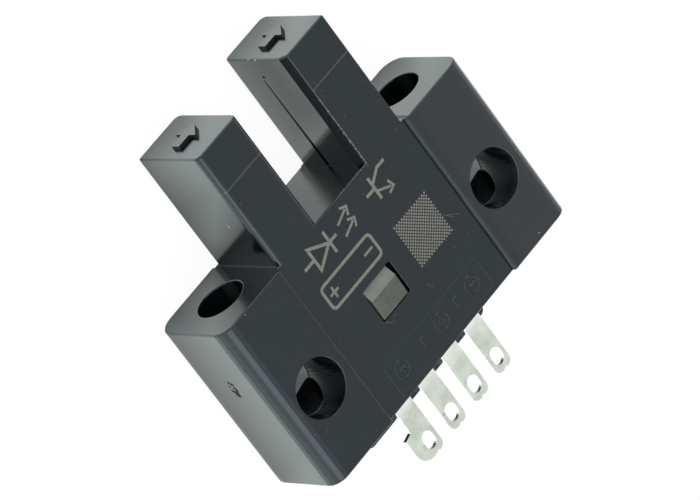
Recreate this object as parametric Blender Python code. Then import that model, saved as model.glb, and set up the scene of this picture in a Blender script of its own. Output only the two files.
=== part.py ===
"""Slotted optical switch with blade terminals, lying on its back.

Sizes are in millimetres, and MM turns them into Blender's metres. Every piece is
drawn from one datum: X runs across the slot, Y from the terminals to the post
ends with zero on the slot floor and the shoulders, and Z from the mounting plane
to the front. The datum's empty then puts the origin in the middle of the
footprint, on the mounting plane.
"""

import math

import bmesh
import bpy
from mathutils import Vector

MM = 0.001

# Case, outside
OVERALL_WIDTH = 25.4
FLANGE_THICKNESS = 7.0
FLANGE_LENGTH = 13.15
FLANGE_BACK_RADIUS = 1.35
FLANGE_FRONT_RADIUS = 1.05
BODY_WIDTH = 13.5
FRONT_STEP = 0.3
FRONT_STEP_RADIUS = 0.25
BACK_STEP = 0.2
BACK_STEP_RADIUS = 0.18
EDGE_EASE = 0.12
GATE_DIAMETER = 1.5
GATE_DEPTH = 0.07
GATE_FROM_SHOULDER = 4.72
GATE_LEVEL = 3.75
GATE_STUB_DIAMETER = 0.6
GATE_STUB_OFFSET = 0.3

# Mounting holes: one pair from front to back, one pair along the flanges
HOLE_PITCH = 19.0
FRONT_HOLE_DIAMETER = 3.9
FRONT_HOLE_WAIST = 3.68
PARTING_WIDTH = 0.14
PARTING_DEPTH = 0.08
FRONT_HOLE_FROM_SHOULDER = 7.6
END_HOLE_DIAMETER = 3.3
END_HOLE_LEVEL = 3.5
HOLE_EASE = 0.08

# Posts and the slot between them
SLOT_WIDTH = 5.0
POST_WIDTH = 4.1
POST_HEIGHT = 9.1
POST_BACK_LEVEL = 0.5
SLOT_BACK_RADIUS = 0.25
LEFT_POST_RADII = {"slot_back": 0.5, "outer_back": 0.14, "outer_front": 0.42, "slot_front": 0.55}
RIGHT_POST_RADII = {"slot_back": 0.3, "outer_back": 0.5, "outer_front": 0.14}
RIGHT_CHAMFER_X = 0.31
RIGHT_CHAMFER_Z = 0.6
RIGHT_CHAMFER_RADII = (0.1, 0.13)

# Optical axis and the marks that show it
AXIS_HEIGHT = 6.12
AXIS_LEVEL = 3.25
AXIS_LINE_WIDTH = 0.12
AXIS_LINE_DEPTH = 0.03
AXIS_LINE_END_MARGIN = 0.6
GROOVE_WIDTH = 0.5
GROOVE_FOOT_DEPTH = 0.1
GROOVE_END_DEPTH = 0.03
GROOVE_HEIGHT = 7.3
GROOVE_FOOT = 0.05
DIMPLE_DIAMETER = 0.22
DIMPLE_DEPTH = 0.08
DIMPLE_HEIGHT = 7.6
ARROW_LENGTH = 2.05
ARROW_HEAD_LENGTH = 1.0
ARROW_HEAD_WIDTH = 2.15
ARROW_SHAFT_WIDTH = 0.8
ARROW_RELIEF = 0.25
ARROW_OFFSET = -0.1
ARROW_LEVEL = 3.66
ARROW_EDGE_RADIUS = 0.05

# Case, inside
SIDE_WALL = 0.8
SLOT_WALL = 0.6
BACK_WALL = 0.8
FRONT_WALL = 0.8
SLOT_FLOOR_WALL = 1.0
POST_END_WALL = 0.9
CAVITY_RADIUS = 0.3

# Indicator window and its light pipe
WINDOW_WIDTH = 2.89
WINDOW_LENGTH = 2.57
WINDOW_CENTRE_X = -1.505
WINDOW_CENTRE_Y = -6.985
WINDOW_RADIUS = 0.12
WINDOW_EASE = 0.05
PIPE_LEFT_GAP = 0.07
PIPE_RIGHT_GAP = 0.3
PIPE_BOTTOM_GAP = 0.1
PIPE_TOP_GAP = 0.14
PIPE_PROUD = 0.18
PIPE_RIDGE_FROM_TOP = 0.75
PIPE_LOWER_DROP = 0.08
PIPE_UPPER_DROP = 0.43
PIPE_EASE = 0.06
PIPE_FLANGE_MARGIN = 0.35
PIPE_FLANGE_THICKNESS = 0.55
PIPE_STEM_WIDTH = 1.6
PIPE_STEM_LENGTH = 1.6
PIPE_ABOVE_LAMP = 0.1

# Terminal base
FIT = 0.04
BASE_PLUG_LENGTH = 1.3
TONGUE_LEFT = 7.5
TONGUE_RIGHT = 5.4
TONGUE_REACH = 2.28
TONGUE_THICKNESS = 2.0
TONGUE_FRONT_LEVEL = 3.3
TONGUE_CORNER_RADIUS = 0.5
BASE_EASE = 0.1

# Terminals
TERMINAL_COUNT = 4
TERMINAL_PITCH = 2.54
TERMINAL_THICKNESS = 0.3
TERMINAL_WIDTH = 1.62
TERMINAL_REACH = 5.97
TERMINAL_EASE = 0.04
TIP_LEFT_RADIUS = 0.6
TIP_RIGHT_RADIUS = 0.5
TIP_NOTCH_DEPTH = 0.13
TIP_NOTCH_OFFSET = 0.08
TIP_NOTCH_WIDTH = 0.3
TIP_NOTCH_RADIUS = 0.05
EYE_WIDTH = 0.9
EYE_LENGTH = 1.27
EYE_RADIUS = 0.44
EYE_FROM_TIP = 1.12
TAIL_WIDTH = 1.1
TAIL_ON_BOARD = 2.2
WING_REACH = 0.66
WING_LENGTH = 2.32
WING_LEDGE_DROP = 0.15
WING_TOP_RADIUS = 0.08
WING_TIP_RADIUS = 1.1

# Circuit board and what it carries
BOARD_THICKNESS = 0.8
BOARD_SIDE_GAP = 0.1
BOARD_END_GAP = 0.1
BOARD_RADIUS = 0.4
CHIP_EASE = 0.06
SOLDER_GAP = 0.05
LAMP_SIZE = (1.6, 0.8, 0.6)

# Packages on the board: each size, and each place as X and the distance from the board's top
AMPLIFIER_SIZE = (2.9, 1.6, 1.1)
AMPLIFIER_PLACE = (0.6, 1.6)
TRANSISTOR_SIZE = (2.9, 1.3, 1.0)
TRANSISTOR_PLACE = (2.2, 3.9)
DIODE_SIZE = (1.7, 1.25, 0.9)
DIODE_PLACE = (-2.2, 3.4)
CAPACITOR_SIZE = (1.6, 0.8, 0.8)
CAPACITOR_PLACE = (-2.4, 2.2)
RESISTOR_SIZE = (1.6, 0.8, 0.45)
RESISTOR_PLACE = (0.9, 3.8)
RESISTOR_PITCH = 1.2
RESISTOR_COUNT = 4

# Emitter and receiver packages, which face each other across the slot
PACKAGE_THICKNESS = 1.5
PACKAGE_WIDTH = 3.6
PACKAGE_HEIGHT = 3.6
PACKAGE_RADIUS = 0.3
LENS_RADIUS = 1.2
LENS_HEIGHT = 0.8
LENS_GAP = 0.05
LENS_ROOT = 0.12
LENS_STEPS = 8
LEAD_DIAMETER = 0.4
LEAD_ON_BOARD = 2.4
LEAD_SPREAD = 0.8
LEAD_BEND_LENGTH = 1.2
LEAD_ROUNDNESS = 2

ARC_STEPS = 5
ROUND_STEPS = 48
EASE_STEPS = 3
OVERSHOOT = 1.0
LEAST_RADIUS = 0.02
SMOOTH_ANGLE = math.radians(30)

# Places that several pieces share
HALF_WIDTH = OVERALL_WIDTH / 2
HALF_SLOT = SLOT_WIDTH / 2
FRONT_LEVEL = FLANGE_THICKNESS - FRONT_STEP
CASE_BOTTOM = -FLANGE_LENGTH
CAVITY_HALF_WIDTH = HALF_SLOT + POST_WIDTH - SIDE_WALL
CAVITY_BACK_LEVEL = BACK_STEP + BACK_WALL
CAVITY_FRONT_LEVEL = FRONT_LEVEL - FRONT_WALL
CAVITY_TOP = -SLOT_FLOOR_WALL
BASE_TOP = CASE_BOTTOM + BASE_PLUG_LENGTH
TERMINAL_BACK_LEVEL = TONGUE_FRONT_LEVEL + FIT
TERMINAL_FRONT_LEVEL = TERMINAL_BACK_LEVEL + TERMINAL_THICKNESS
TERMINAL_TIP = CASE_BOTTOM - TERMINAL_REACH
BOARD_FRONT_LEVEL = TERMINAL_BACK_LEVEL - FIT
BOARD_BACK_LEVEL = BOARD_FRONT_LEVEL - BOARD_THICKNESS
BOARD_BOTTOM = BASE_TOP + BOARD_END_GAP
BOARD_TOP = CAVITY_TOP - BOARD_END_GAP
ORIGIN_SHIFT = -(POST_HEIGHT + ARROW_RELIEF + TERMINAL_TIP) / 2

CASE_BLACK = (0.03, 0.033, 0.036)
PART_COLOURS = {
    "case": (CASE_BLACK, 0.3, 0.0),
    "terminal_base": (CASE_BLACK, 0.35, 0.0),
    "terminal": ((0.72, 0.75, 0.70), 0.25, 1.0),
    "indicator_light_pipe": ((0.55, 0.57, 0.52), 0.15, 0.0),
    "circuit_board": ((0.02, 0.16, 0.07), 0.5, 0.0),
    "emitter": ((0.35, 0.32, 0.45), 0.2, 0.0),
    "receiver": ((0.02, 0.02, 0.03), 0.2, 0.0),
    "lead": ((0.70, 0.70, 0.68), 0.3, 1.0),
    "indicator_led": ((0.85, 0.45, 0.25), 0.3, 0.0),
    "resistor": ((0.05, 0.05, 0.06), 0.5, 0.0),
    "capacitor": ((0.45, 0.33, 0.22), 0.5, 0.0),
    "chip": ((0.04, 0.04, 0.045), 0.5, 0.0),
}


# Outlines
def offset_corners(corners, inset):
    """The corners of the same outline drawn inset inside itself; they run anticlockwise."""
    moved = []
    for index, (u, v, radius) in enumerate(corners):
        before = Vector(corners[index - 1][:2])
        here = Vector((u, v))
        after = Vector(corners[(index + 1) % len(corners)][:2])
        run_in = (here - before).normalized()
        run_out = (after - here).normalized()
        left_in = Vector((-run_in.y, run_in.x))
        left_out = Vector((-run_out.y, run_out.x))
        place = here + (left_in + left_out) * inset / (1 + left_in.dot(left_out))
        if radius:
            outer_corner = run_in.cross(run_out) > 0
            radius = max(radius - inset if outer_corner else radius + inset, LEAST_RADIUS)
        moved.append((place.x, place.y, radius))
    return moved


def corner_points(before, here, after, radius):
    """The points of one corner, an arc where it has a radius."""
    if not radius:
        return [here]
    to_before = (before - here).normalized()
    to_after = (after - here).normalized()
    half_angle = to_before.angle(to_after) / 2
    centre = here + (to_before + to_after).normalized() * radius / math.sin(half_angle)
    first = here + to_before * radius / math.tan(half_angle) - centre
    last = here + to_after * radius / math.tan(half_angle) - centre
    start = math.atan2(first.y, first.x)
    turn = math.atan2(first.cross(last), first.dot(last))
    angles = [start + turn * step / ARC_STEPS for step in range(ARC_STEPS + 1)]
    return [centre + radius * Vector((math.cos(angle), math.sin(angle))) for angle in angles]


def polygon(corners):
    """An outline with rounded corners, as a function of its inset."""

    def points(inset):
        moved = offset_corners(corners, inset)
        found = []
        for index, (u, v, radius) in enumerate(moved):
            before = Vector(moved[index - 1][:2])
            after = Vector(moved[(index + 1) % len(moved)][:2])
            found += corner_points(before, Vector((u, v)), after, radius)
        return found

    return points


def rectangle(low_u, high_u, low_v, high_v, radius=0.0):
    return polygon(
        [
            (low_u, low_v, radius),
            (high_u, low_v, radius),
            (high_u, high_v, radius),
            (low_u, high_v, radius),
        ]
    )


def circle(u, v, radius):
    """A round outline, as a function of its inset."""

    def points(inset):
        angles = [2 * math.pi * step / ROUND_STEPS for step in range(ROUND_STEPS)]
        reach = radius - inset
        return [Vector((u + reach * math.cos(a), v + reach * math.sin(a))) for a in angles]

    return points


def mirrored(corners):
    """Corners on the other side of X = 0, still anticlockwise."""
    return [(-u, v, radius) for u, v, radius in reversed(corners)]


# Solids
def spot(axis, u, v, level):
    """A point in space from a point of an outline and its level along the axis."""
    return {"X": Vector((level, u, v)), "Y": Vector((u, level, v)), "Z": Vector((u, v, level))}[axis]


def loft(name, axis, stations):
    """A closed solid through outlines with equal counts, each with its level."""
    shape = bmesh.new()
    rings = []
    for points, level in stations:
        rings.append([shape.verts.new(spot(axis, u, v, level) * MM) for u, v in points])
    for low, high in zip(rings, rings[1:]):
        for index in range(len(low)):
            shape.faces.new((low[index - 1], low[index], high[index], high[index - 1]))
    shape.faces.new(rings[0])
    shape.faces.new(rings[-1])
    bmesh.ops.recalc_face_normals(shape, faces=shape.faces)
    mesh = bpy.data.meshes.new(name)
    shape.to_mesh(mesh)
    shape.free()
    solid = bpy.data.objects.new(name, mesh)
    bpy.context.collection.objects.link(solid)
    return solid


def eased_end(end, ease, inwards):
    """The insets and levels of a rounded end, from its face inwards."""
    if not ease:
        return [(0.0, end)]
    angles = [math.pi / 2 * step / EASE_STEPS for step in range(EASE_STEPS + 1)]
    return [(ease * (1 - math.sin(a)), end + inwards * ease * (1 - math.cos(a))) for a in angles]


def prism(name, outline, axis, low, high, ease=0.0):
    """An outline carried along the axis, with the edges of both ends rounded."""
    steps = eased_end(low, ease, 1) + eased_end(high, ease, -1)[::-1]
    return loft(name, axis, [(outline(inset), level) for inset, level in steps])


def opening(outline, axis, low, high, ease):
    """A cutter for a hole right through from low to high, which rounds both rims."""
    steps = [(ease, low - OVERSHOOT)] + eased_end(low, ease, 1)
    steps += eased_end(high, ease, -1)[::-1] + [(ease, high + OVERSHOOT)]
    return loft("cutter", axis, [(outline(-widened), level) for widened, level in steps])


def combine(body, tool, operation):
    """Applies a Boolean of the tool to the body, and deletes the tool."""
    modifier = body.modifiers.new(operation, "BOOLEAN")
    modifier.operation = operation
    modifier.solver = "EXACT"
    modifier.object = tool
    graph = bpy.context.evaluated_depsgraph_get()
    body.data = bpy.data.meshes.new_from_object(body.evaluated_get(graph))
    body.modifiers.clear()
    bpy.data.objects.remove(tool)


def add(body, tool):
    combine(body, tool, "UNION")


def cut(body, tool):
    combine(body, tool, "DIFFERENCE")


def material(name, kind):
    colour, roughness, metallic = PART_COLOURS[kind]
    made = bpy.data.materials.new(name)
    made.use_nodes = True
    shader = made.node_tree.nodes["Principled BSDF"]
    shader.inputs["Base Color"].default_value = (*colour, 1.0)
    shader.inputs["Roughness"].default_value = roughness
    shader.inputs["Metallic"].default_value = metallic
    return made


def present(solid, kind, datum):
    """Gives a finished piece its material, its shading and its place under the datum."""
    solid.data.materials.clear()
    solid.data.materials.append(material(solid.name, kind))
    if solid.type == "MESH":
        solid.data.shade_smooth()
        solid.data.set_sharp_from_angle(angle=SMOOTH_ANGLE)
    solid.parent = datum


# Case
def body_section():
    """The flanges and the thinner body between them, seen from the terminals."""
    step_x = BODY_WIDTH / 2
    right = [
        (step_x, BACK_STEP, 0.0),
        (step_x, 0.0, BACK_STEP_RADIUS),
        (HALF_WIDTH, 0.0, FLANGE_BACK_RADIUS),
        (HALF_WIDTH, FLANGE_THICKNESS, FLANGE_FRONT_RADIUS),
        (step_x, FLANGE_THICKNESS, FRONT_STEP_RADIUS),
        (step_x, FRONT_LEVEL, 0.0),
    ]
    return polygon(right + mirrored(right))


def post_section(side):
    """A post, seen from the terminals; only the right one has a chamfer beside the slot."""
    radii = RIGHT_POST_RADII if side > 0 else LEFT_POST_RADII
    outer = HALF_SLOT + POST_WIDTH
    section = [
        (HALF_SLOT, POST_BACK_LEVEL, radii["slot_back"]),
        (outer, POST_BACK_LEVEL, radii["outer_back"]),
        (outer, FRONT_LEVEL, radii["outer_front"]),
    ]
    if side > 0:
        front_radius, slot_radius = RIGHT_CHAMFER_RADII
        section.append((HALF_SLOT + RIGHT_CHAMFER_X, FRONT_LEVEL, front_radius))
        section.append((HALF_SLOT, FRONT_LEVEL - RIGHT_CHAMFER_Z, slot_radius))
        return polygon(section)
    return polygon(mirrored(section + [(HALF_SLOT, FRONT_LEVEL, radii["slot_front"])]))


def cavity_section():
    """The space inside, seen from the front: a room with an arm up each post."""
    arm = HALF_SLOT + SLOT_WALL
    arm_top = POST_HEIGHT - POST_END_WALL
    right = [
        (CAVITY_HALF_WIDTH, CASE_BOTTOM - OVERSHOOT, 0.0),
        (CAVITY_HALF_WIDTH, arm_top, CAVITY_RADIUS),
        (arm, arm_top, CAVITY_RADIUS),
        (arm, CAVITY_TOP, CAVITY_RADIUS),
    ]
    return polygon(right + mirrored(right))


def arrow_section(side):
    """The arrow on a post's end; it points to +X, across the slot."""
    centre = side * (HALF_SLOT + POST_WIDTH / 2) + ARROW_OFFSET
    tail = centre - ARROW_LENGTH / 2
    tip = centre + ARROW_LENGTH / 2
    barb = tip - ARROW_HEAD_LENGTH
    shaft = ARROW_SHAFT_WIDTH / 2
    head = ARROW_HEAD_WIDTH / 2
    return polygon(
        [
            (tail, ARROW_LEVEL - shaft, ARROW_EDGE_RADIUS),
            (barb, ARROW_LEVEL - shaft, ARROW_EDGE_RADIUS),
            (barb, ARROW_LEVEL - head, ARROW_EDGE_RADIUS),
            (tip, ARROW_LEVEL, ARROW_EDGE_RADIUS),
            (barb, ARROW_LEVEL + head, ARROW_EDGE_RADIUS),
            (barb, ARROW_LEVEL + shaft, ARROW_EDGE_RADIUS),
            (tail, ARROW_LEVEL + shaft, ARROW_EDGE_RADIUS),
        ]
    )


def axis_line_cutter(side):
    """A shallow V across a post's front, level with the light beam."""
    half = AXIS_LINE_WIDTH / 2
    outline = polygon(
        [
            (AXIS_HEIGHT, FRONT_LEVEL - AXIS_LINE_DEPTH, 0.0),
            (AXIS_HEIGHT + half, FRONT_LEVEL, 0.0),
            (AXIS_HEIGHT + half, FRONT_LEVEL + OVERSHOOT, 0.0),
            (AXIS_HEIGHT - half, FRONT_LEVEL + OVERSHOOT, 0.0),
            (AXIS_HEIGHT - half, FRONT_LEVEL, 0.0),
        ]
    )
    ends = (
        side * (HALF_SLOT + AXIS_LINE_END_MARGIN),
        side * (HALF_SLOT + POST_WIDTH - AXIS_LINE_END_MARGIN),
    )
    return prism("cutter", outline, "X", min(ends), max(ends))


def groove_cutter(side):
    """A shallow groove up a post's slot face, in front of the optics, deepest at its foot."""
    half = GROOVE_WIDTH / 2
    open_side = side * (HALF_SLOT - OVERSHOOT / 2)
    stations = []
    for level, depth in ((GROOVE_FOOT, GROOVE_FOOT_DEPTH), (GROOVE_HEIGHT, GROOVE_END_DEPTH)):
        sides = sorted((open_side, side * (HALF_SLOT + depth)))
        outline = rectangle(*sides, AXIS_LEVEL - half, AXIS_LEVEL + half)
        stations.append((outline(0.0), level))
    return loft("cutter", "Y", stations)


def dimple_cutter(side):
    """A small round dimple above the end of the groove."""
    ends = (side * (HALF_SLOT - OVERSHOOT / 2), side * (HALF_SLOT + DIMPLE_DEPTH))
    outline = circle(DIMPLE_HEIGHT, AXIS_LEVEL, DIMPLE_DIAMETER / 2)
    return prism("cutter", outline, "X", min(ends), max(ends))


def slot_back_cutter():
    """What rounds the slot floor's back edge from post to post."""
    outside = BACK_STEP - OVERSHOOT
    corner = [
        (-SLOT_BACK_RADIUS, outside),
        (OVERSHOOT, outside),
        (OVERSHOOT, BACK_STEP + SLOT_BACK_RADIUS),
    ]
    for step in range(ARC_STEPS + 1):
        angle = math.pi / 2 * step / ARC_STEPS
        corner.append(
            (
                SLOT_BACK_RADIUS * (math.cos(angle) - 1),
                BACK_STEP + SLOT_BACK_RADIUS * (1 - math.sin(angle)),
            )
        )
    points = [Vector(place) for place in corner]
    return loft("cutter", "X", [(points, -HALF_SLOT), (points, HALF_SLOT)])


def gate_ring():
    """The trimmed moulding gate on the left flange's side: a shallow ring round a stub."""
    place = (-GATE_FROM_SHOULDER, GATE_LEVEL)
    floor = GATE_DEPTH - HALF_WIDTH
    ring = prism("cutter", circle(*place, GATE_DIAMETER / 2), "X", -HALF_WIDTH - OVERSHOOT, floor)
    stub_y = place[0] - GATE_STUB_OFFSET
    stub = circle(stub_y, GATE_LEVEL, GATE_STUB_DIAMETER / 2)
    cut(ring, prism("stub", stub, "X", GATE_DEPTH / 2 - HALF_WIDTH, floor + OVERSHOOT))
    return ring


def front_hole_cutter(x):
    """A hole that narrows from both faces to a small groove at mid thickness, where the mould parts."""
    middle = FLANGE_THICKNESS / 2
    rim = FRONT_HOLE_DIAMETER / 2
    waist = FRONT_HOLE_WAIST / 2
    profile = [(rim + HOLE_EASE, -OVERSHOOT)]
    profile += [(rim + widened, level) for widened, level in eased_end(0.0, HOLE_EASE, 1)]
    profile += [
        (waist, middle - PARTING_WIDTH / 2),
        (waist + PARTING_DEPTH, middle),
        (waist, middle + PARTING_WIDTH / 2),
    ]
    front_rim = eased_end(FLANGE_THICKNESS, HOLE_EASE, -1)[::-1]
    profile += [(rim + widened, level) for widened, level in front_rim]
    profile.append((rim + HOLE_EASE, FLANGE_THICKNESS + OVERSHOOT))
    y = -FRONT_HOLE_FROM_SHOULDER
    return loft("cutter", "Z", [(circle(x, y, radius)(0.0), level) for radius, level in profile])


def window_outline(clearance):
    half_width = WINDOW_WIDTH / 2 - clearance
    half_length = WINDOW_LENGTH / 2 - clearance
    return rectangle(
        WINDOW_CENTRE_X - half_width,
        WINDOW_CENTRE_X + half_width,
        WINDOW_CENTRE_Y - half_length,
        WINDOW_CENTRE_Y + half_length,
        WINDOW_RADIUS,
    )


def make_case():
    case = prism("case", body_section(), "Y", CASE_BOTTOM, 0.0, EDGE_EASE)
    for side in (-1, 1):
        add(case, prism("post", post_section(side), "Y", -SLOT_FLOOR_WALL, POST_HEIGHT, EDGE_EASE))
        arrow_foot = POST_HEIGHT - ARROW_RELIEF
        arrow_top = POST_HEIGHT + ARROW_RELIEF
        add(case, prism("arrow", arrow_section(side), "Y", arrow_foot, arrow_top))
    cut(case, prism("cutter", cavity_section(), "Z", CAVITY_BACK_LEVEL, CAVITY_FRONT_LEVEL))
    for side in (-1, 1):
        hole_x = side * HOLE_PITCH / 2
        end_hole = circle(hole_x, END_HOLE_LEVEL, END_HOLE_DIAMETER / 2)
        cut(case, front_hole_cutter(hole_x))
        cut(case, opening(end_hole, "Y", CASE_BOTTOM, 0.0, HOLE_EASE))
        cut(case, axis_line_cutter(side))
        cut(case, groove_cutter(side))
        cut(case, dimple_cutter(side))
    cut(case, slot_back_cutter())
    cut(case, gate_ring())
    cut(case, opening(window_outline(0.0), "Z", CAVITY_FRONT_LEVEL, FRONT_LEVEL, WINDOW_EASE))
    return case


# Terminal base and terminals
def terminal_centres():
    middle = (TERMINAL_COUNT - 1) / 2
    return [(index - middle) * TERMINAL_PITCH for index in range(TERMINAL_COUNT)]


def make_base():
    """The plug that closes the case, with the tongue that backs the terminals."""
    plug = rectangle(
        FIT - CAVITY_HALF_WIDTH,
        CAVITY_HALF_WIDTH - FIT,
        CAVITY_BACK_LEVEL + FIT,
        CAVITY_FRONT_LEVEL - FIT,
        BASE_EASE,
    )
    base = prism("terminal_base", plug, "Y", CASE_BOTTOM, BASE_TOP, BASE_EASE)
    tongue_root = CASE_BOTTOM + BASE_PLUG_LENGTH / 2
    tongue = polygon(
        [
            (-TONGUE_LEFT, CASE_BOTTOM - TONGUE_REACH, TONGUE_CORNER_RADIUS),
            (TONGUE_RIGHT, CASE_BOTTOM - TONGUE_REACH, TONGUE_CORNER_RADIUS),
            (TONGUE_RIGHT, tongue_root, 0.0),
            (-TONGUE_RIGHT, tongue_root, 0.0),
            (-TONGUE_RIGHT, CASE_BOTTOM - FIT, 0.0),
            (-TONGUE_LEFT, CASE_BOTTOM - FIT, 0.0),
        ]
    )
    tongue_back = TONGUE_FRONT_LEVEL - TONGUE_THICKNESS
    add(base, prism("tongue", tongue, "Z", tongue_back, TONGUE_FRONT_LEVEL, BASE_EASE))
    for centre in terminal_centres():
        half = TERMINAL_WIDTH / 2 + FIT
        slot = rectangle(
            centre - half, centre + half, TONGUE_FRONT_LEVEL, TERMINAL_FRONT_LEVEL + FIT
        )
        cut(base, prism("cutter", slot, "Y", CASE_BOTTOM - OVERSHOOT, BASE_TOP + OVERSHOOT))
    return base


def terminal_outline(centre, winged):
    """A blade with a notched round tip; the first has a wing on its outer side."""
    half = TERMINAL_WIDTH / 2
    notch = centre + TIP_NOTCH_OFFSET
    tip = [
        (notch - TIP_NOTCH_WIDTH / 2, TERMINAL_TIP, TIP_NOTCH_RADIUS),
        (notch, TERMINAL_TIP + TIP_NOTCH_DEPTH, TIP_NOTCH_RADIUS),
        (notch + TIP_NOTCH_WIDTH / 2, TERMINAL_TIP, TIP_NOTCH_RADIUS),
        (centre + half, TERMINAL_TIP, TIP_RIGHT_RADIUS),
    ]
    tail = [
        (centre + half, BASE_TOP, 0.0),
        (centre + TAIL_WIDTH / 2, BASE_TOP, 0.0),
        (centre + TAIL_WIDTH / 2, BASE_TOP + TAIL_ON_BOARD, 0.0),
        (centre - TAIL_WIDTH / 2, BASE_TOP + TAIL_ON_BOARD, 0.0),
        (centre - TAIL_WIDTH / 2, BASE_TOP, 0.0),
        (centre - half, BASE_TOP, 0.0),
    ]
    if not winged:
        return polygon([(centre - half, TERMINAL_TIP, TIP_LEFT_RADIUS)] + tip + tail)
    wing_x = centre - half - WING_REACH
    wing_top = TERMINAL_TIP + WING_LENGTH
    wing = [
        (centre - half, wing_top + WING_LEDGE_DROP, WING_TOP_RADIUS),
        (wing_x, wing_top, WING_TOP_RADIUS),
        (wing_x, TERMINAL_TIP, WING_TIP_RADIUS),
    ]
    return polygon(wing + tip + tail)


def make_terminal(index, centre):
    outline = terminal_outline(centre, winged=index == 0)
    blade = prism(
        f"terminal_{index + 1}",
        outline,
        "Z",
        TERMINAL_BACK_LEVEL,
        TERMINAL_FRONT_LEVEL,
        TERMINAL_EASE,
    )
    eye_y = TERMINAL_TIP + EYE_FROM_TIP
    eye = rectangle(
        centre - EYE_WIDTH / 2,
        centre + EYE_WIDTH / 2,
        eye_y - EYE_LENGTH / 2,
        eye_y + EYE_LENGTH / 2,
        EYE_RADIUS,
    )
    cut(blade, opening(eye, "Z", TERMINAL_BACK_LEVEL, TERMINAL_FRONT_LEVEL, TERMINAL_EASE))
    return blade


# Indicator
def make_light_pipe():
    """A ridged head, a flange behind the wall, and a stem to the lamp."""
    left = WINDOW_CENTRE_X - WINDOW_WIDTH / 2 + PIPE_LEFT_GAP
    right = WINDOW_CENTRE_X + WINDOW_WIDTH / 2 - PIPE_RIGHT_GAP
    bottom = WINDOW_CENTRE_Y - WINDOW_LENGTH / 2 + PIPE_BOTTOM_GAP
    top = WINDOW_CENTRE_Y + WINDOW_LENGTH / 2 - PIPE_TOP_GAP
    ridge = FRONT_LEVEL + PIPE_PROUD
    flange_front = CAVITY_FRONT_LEVEL - FIT
    flange_back = flange_front - PIPE_FLANGE_THICKNESS
    head = polygon(
        [
            (bottom, flange_back, 0.0),
            (top, flange_back, 0.0),
            (top, ridge - PIPE_UPPER_DROP, PIPE_EASE),
            (top - PIPE_RIDGE_FROM_TOP, ridge, PIPE_EASE),
            (bottom, ridge - PIPE_LOWER_DROP, PIPE_EASE),
        ]
    )
    pipe = prism("indicator_light_pipe", head, "X", left, right, PIPE_EASE)
    add(pipe, prism("flange", window_outline(-PIPE_FLANGE_MARGIN), "Z", flange_back, flange_front))
    stem = rectangle(
        WINDOW_CENTRE_X - PIPE_STEM_WIDTH / 2,
        WINDOW_CENTRE_X + PIPE_STEM_WIDTH / 2,
        WINDOW_CENTRE_Y - PIPE_STEM_LENGTH / 2,
        WINDOW_CENTRE_Y + PIPE_STEM_LENGTH / 2,
        WINDOW_RADIUS,
    )
    lamp_top = BOARD_FRONT_LEVEL + SOLDER_GAP + LAMP_SIZE[2]
    stem_top = flange_front - PIPE_FLANGE_THICKNESS / 2
    add(pipe, prism("stem", stem, "Z", lamp_top + PIPE_ABOVE_LAMP, stem_top))
    return pipe


# Circuit board and its components
def make_board():
    half = CAVITY_HALF_WIDTH - BOARD_SIDE_GAP
    outline = rectangle(-half, half, BOARD_BOTTOM, BOARD_TOP, BOARD_RADIUS)
    return prism("circuit_board", outline, "Z", BOARD_BACK_LEVEL, BOARD_FRONT_LEVEL)


def make_chip(name, place, size, on_back):
    """A small package on the board, with its long side across."""
    x = place[0]
    y = BOARD_TOP - place[1]
    length, width, height = size
    outline = rectangle(x - length / 2, x + length / 2, y - width / 2, y + width / 2)
    foot = BOARD_FRONT_LEVEL + SOLDER_GAP
    if on_back:
        foot = BOARD_BACK_LEVEL - SOLDER_GAP - height
    return prism(name, outline, "Z", foot, foot + height, CHIP_EASE)


def make_chips():
    lamp_place = (WINDOW_CENTRE_X, BOARD_TOP - WINDOW_CENTRE_Y)
    chips = [
        ("amplifier_ic", "chip", AMPLIFIER_PLACE, AMPLIFIER_SIZE, False),
        ("output_transistor", "chip", TRANSISTOR_PLACE, TRANSISTOR_SIZE, False),
        ("protection_diode", "chip", DIODE_PLACE, DIODE_SIZE, True),
        ("capacitor", "capacitor", CAPACITOR_PLACE, CAPACITOR_SIZE, False),
        ("indicator_led", "indicator_led", lamp_place, LAMP_SIZE, False),
    ]
    for index in range(RESISTOR_COUNT):
        place = (RESISTOR_PLACE[0], RESISTOR_PLACE[1] + RESISTOR_PITCH * index)
        chips.append((f"resistor_{index + 1}", "resistor", place, RESISTOR_SIZE, True))
    return [(make_chip(name, place, size, on_back), kind) for name, kind, place, size, on_back in chips]


# Emitter and receiver
def package_x(side):
    """The middle of a package's body, with its lens against the slot wall."""
    return side * (HALF_SLOT + SLOT_WALL + LENS_GAP + LENS_HEIGHT + PACKAGE_THICKNESS / 2)


def make_package(name, side):
    """A side-looking package: a square body with a domed lens towards the slot."""
    body = rectangle(
        AXIS_HEIGHT - PACKAGE_HEIGHT / 2,
        AXIS_HEIGHT + PACKAGE_HEIGHT / 2,
        AXIS_LEVEL - PACKAGE_WIDTH / 2,
        AXIS_LEVEL + PACKAGE_WIDTH / 2,
        PACKAGE_RADIUS,
    )
    middle = package_x(side)
    half = PACKAGE_THICKNESS / 2
    package = prism(name, body, "X", middle - half, middle + half, CHIP_EASE)
    dome_foot = middle - side * (half - LENS_ROOT)
    dome_height = LENS_HEIGHT + LENS_ROOT
    stations = []
    for step in range(LENS_STEPS):
        angle = math.pi / 2 * step / LENS_STEPS
        ring = circle(AXIS_HEIGHT, AXIS_LEVEL, LENS_RADIUS * math.cos(angle))
        stations.append((ring(0.0), dome_foot - side * dome_height * math.sin(angle)))
    add(package, loft("lens", "X", stations))
    return package


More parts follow.
